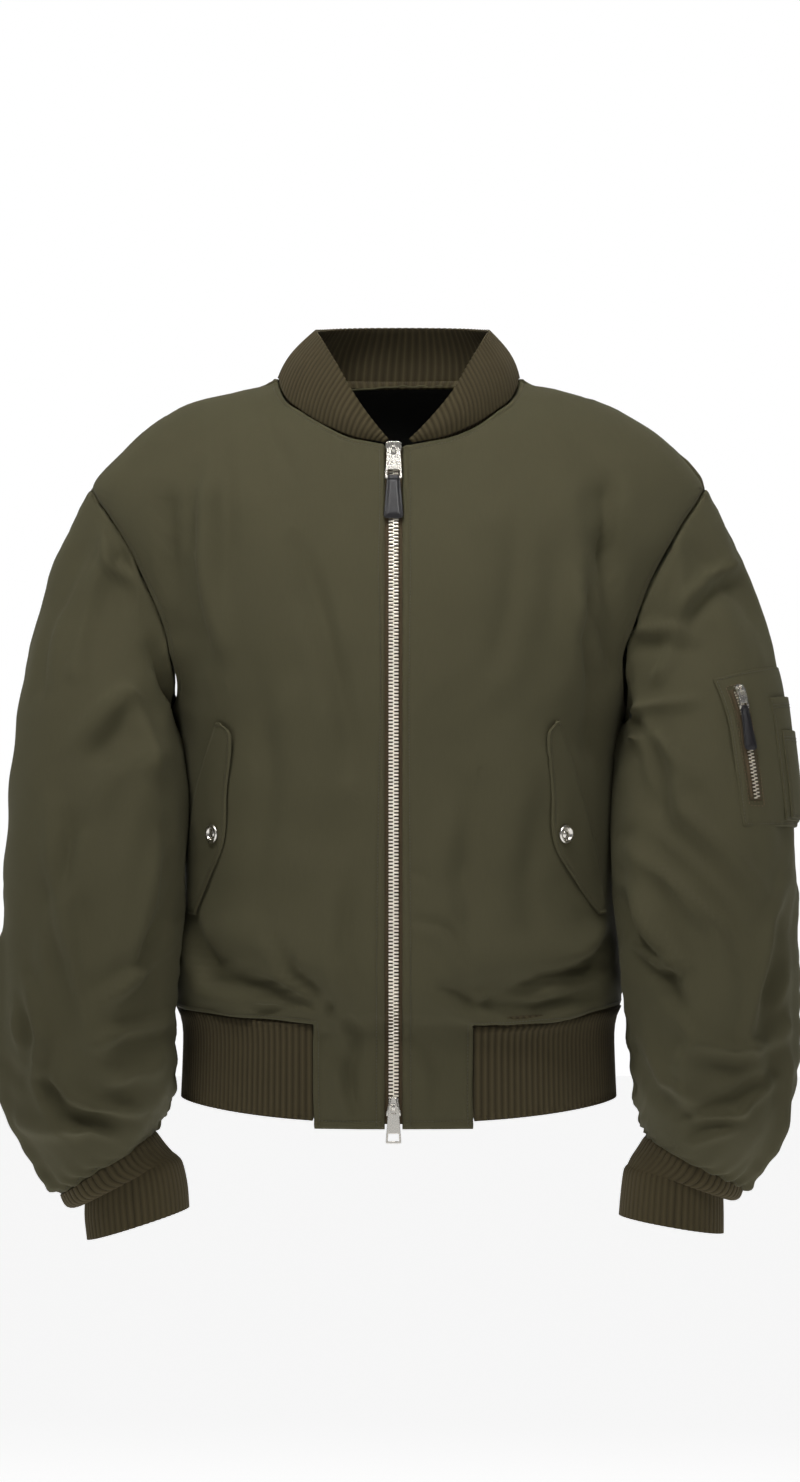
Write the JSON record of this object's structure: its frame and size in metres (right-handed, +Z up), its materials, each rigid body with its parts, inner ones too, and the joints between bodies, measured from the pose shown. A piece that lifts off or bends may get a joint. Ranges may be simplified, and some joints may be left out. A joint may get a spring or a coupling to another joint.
{
  "type": "bomber jacket",
  "caption": "Olive bomber jacket as worn and zipped, with rib knit collar, cuffs and hem, slanted flap pockets and a sleeve pocket.",
  "frame": {"origin": "middle of the neck opening, level with the points where the shoulder seams meet the collar", "axes": "+Z up the wearer's body, the zip faces -Y, the wearer's left is +X"},
  "size_m": [0.6375, 0.2793, 0.7314],
  "materials": {
    "olive_shell": "matt woven shell cloth",
    "olive_rib_knit": "rib knit",
    "zip_tape": "woven tape",
    "silver_metal": "polished",
    "black_leather": "smooth, edges stitched"
  },
  "bodies": {
    "jacket": {"front_right": "olive_shell", "front_left": "olive_shell", "back": "olive_shell", "collar": "olive_rib_knit", "hem_rib": "olive_rib_knit", "sleeve_front_right": "olive_shell", "sleeve_back_right": "olive_shell", "cuff_right": "olive_rib_knit", "sleeve_front_left": "olive_shell", "sleeve_back_left": "olive_shell", "cuff_left": "olive_rib_knit", "zip_tape_right": "zip_tape", "zip_tape_left": "zip_tape", "zip_teeth": "silver_metal", "pocket_flap_right": "olive_shell", "snap_right": "silver_metal", "pocket_flap_left": "olive_shell", "snap_left": "silver_metal", "zip_slider_top": "silver_metal", "zip_slider_bottom": "silver_metal", "sleeve_pocket": "olive_shell", "pen_pocket_back": "olive_shell", "pen_pocket_front": "olive_shell", "sleeve_zip_teeth": "silver_metal", "sleeve_slider": "silver_metal"},
    "top_pull": {"zip_pull_top": "silver_metal", "zip_tab_top": "black_leather"},
    "bottom_pull": {"zip_pull_bottom": "silver_metal"},
    "pocket_pull": {"sleeve_pull": "silver_metal", "sleeve_tab": "black_leather"}
  },
  "joints": [
    {"name": "top_pull_hinge", "type": "hinge", "parent": "jacket", "child": "top_pull", "pos_m": [-0.00402, -0.09483, -0.06151], "axis": [-1, 0, 0], "range_deg": [0, 150]},
    {"name": "bottom_pull_hinge", "type": "hinge", "parent": "jacket", "child": "bottom_pull", "pos_m": [-0.00403, -0.13155, -0.57393], "axis": [-1, 0, 0], "range_deg": [0, 150]},
    {"name": "pocket_pull_hinge", "type": "hinge", "parent": "jacket", "child": "pocket_pull", "pos_m": [0.26815, -0.09349, -0.24902], "axis": [-0.8936, -0.4488, -0.0109], "range_deg": [0, 150]}
  ]
}
